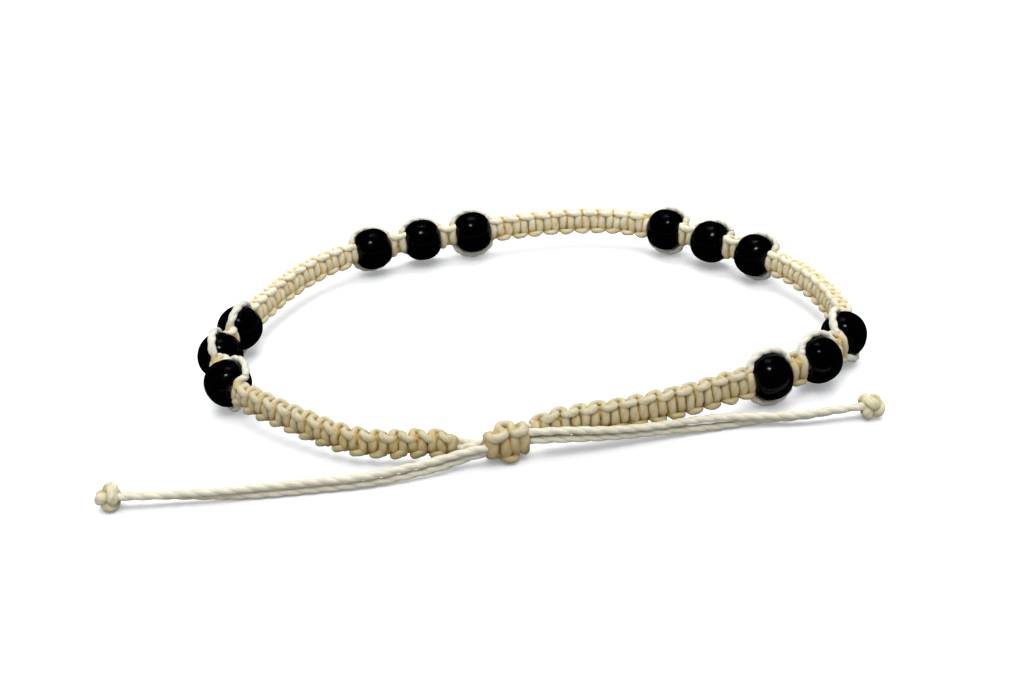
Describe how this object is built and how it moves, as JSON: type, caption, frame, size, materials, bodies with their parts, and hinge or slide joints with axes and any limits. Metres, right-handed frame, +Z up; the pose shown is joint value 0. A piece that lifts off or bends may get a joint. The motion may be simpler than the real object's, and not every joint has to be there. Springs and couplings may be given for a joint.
{
  "type": "beaded cord anklet",
  "caption": "Knotted cord anklet with round beads in groups, woven bands between them, a sliding knot closure and loose tails.",
  "frame": {"origin": "middle of the loop's footprint, on the surface that the anklet lies on", "axes": "+Z up out of the loop, +X along the loop's longest way, and the sliding knot and tails at the -Y side"},
  "size_m": [0.0955, 0.0668, 0.0079],
  "materials": {
    "cord": "waxed two-ply twisted cord, cream, soft sheen",
    "bead": "opaque black, polished"
  },
  "bodies": {
    "root": {"band_back": "cord", "band_front_left": "cord", "band_front_right": "cord", "band_left": "cord", "band_right": "cord", "bead_back_left_1": "bead", "bead_back_left_2": "bead", "bead_back_left_3": "bead", "bead_back_right_1": "bead", "bead_back_right_2": "bead", "bead_back_right_3": "bead", "bead_left_1": "bead", "bead_left_2": "bead", "bead_left_3": "bead", "bead_right_1": "bead", "bead_right_2": "bead", "bead_right_3": "bead", "core_closure_left": "cord", "core_closure_right": "cord", "end_knot_left": "cord", "end_knot_right": "cord", "knot_back_left_1": "cord", "knot_back_left_2": "cord", "knot_back_right_1": "cord", "knot_back_right_2": "cord", "knot_left_1": "cord", "knot_left_2": "cord", "knot_right_1": "cord", "knot_right_2": "cord", "lower_cord_back_left": "cord", "lower_cord_back_right": "cord", "lower_cord_left": "cord", "lower_cord_right": "cord", "sliding_knot": "cord", "tail_left_lower": "cord", "tail_left_upper": "cord", "tail_right_lower": "cord", "tail_right_upper": "cord", "thread_back_left": "cord", "thread_back_right": "cord", "thread_left": "cord", "thread_right": "cord", "upper_cord_back_left": "cord", "upper_cord_back_right": "cord", "upper_cord_left": "cord", "upper_cord_right": "cord"}
  },
  "joints": []
}
